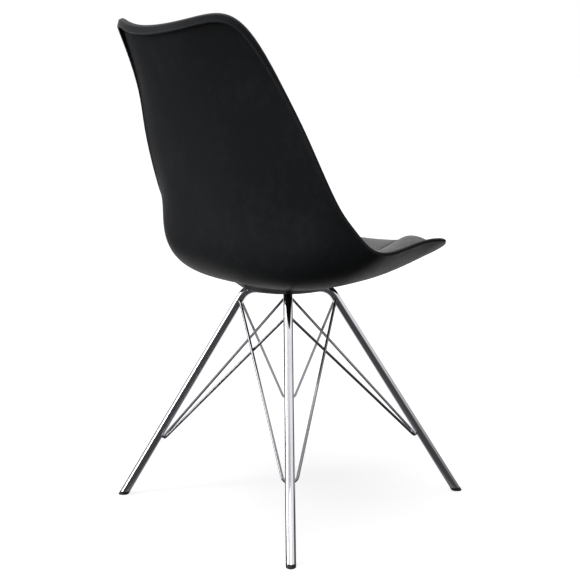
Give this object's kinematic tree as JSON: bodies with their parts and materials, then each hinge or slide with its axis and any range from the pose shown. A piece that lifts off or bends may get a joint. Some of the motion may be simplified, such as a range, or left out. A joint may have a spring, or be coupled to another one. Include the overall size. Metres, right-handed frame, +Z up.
{
  "type": "dining chair",
  "caption": "Dining chair: one-piece moulded plastic seat and back, padded seat, splayed chromed tube legs with crossing wire braces.",
  "frame": {"origin": "on the floor, under the middle of the chair's bounding box", "axes": "+Z up, the sitter faces -Y, +X is the sitter's left"},
  "size_m": [0.4846, 0.525, 0.8314],
  "materials": {
    "shell_plastic": "black polypropylene, satin",
    "pad_leatherette": "black leatherette, fine grain",
    "pad_foam": "upholstery foam",
    "pad_board": "moulded plywood",
    "chrome_tube": "bright chrome plate",
    "cap_plastic": "black, slightly soft",
    "dark_steel": "black enamel",
    "zinc_steel": "zinc plate",
    "insert_brass": "plain brass"
  },
  "bodies": {
    "root": {"seat_shell": "shell_plastic", "seat_pad_cover": "pad_leatherette", "seat_pad_foam": "pad_foam", "seat_pad_board": "pad_board", "mounting_plate": "dark_steel", "mounting_bolts": "zinc_steel", "flat_washers": "zinc_steel", "lock_washers": "zinc_steel", "threaded_inserts": "insert_brass", "front_left_leg": "chrome_tube", "front_left_wire_brace": "chrome_tube", "front_left_foot_cap": "cap_plastic", "front_right_leg": "chrome_tube", "front_right_wire_brace": "chrome_tube", "front_right_foot_cap": "cap_plastic", "rear_left_leg": "chrome_tube", "rear_left_wire_brace": "chrome_tube", "rear_left_foot_cap": "cap_plastic", "rear_right_leg": "chrome_tube", "rear_right_wire_brace": "chrome_tube", "rear_right_foot_cap": "cap_plastic"}
  },
  "joints": []
}
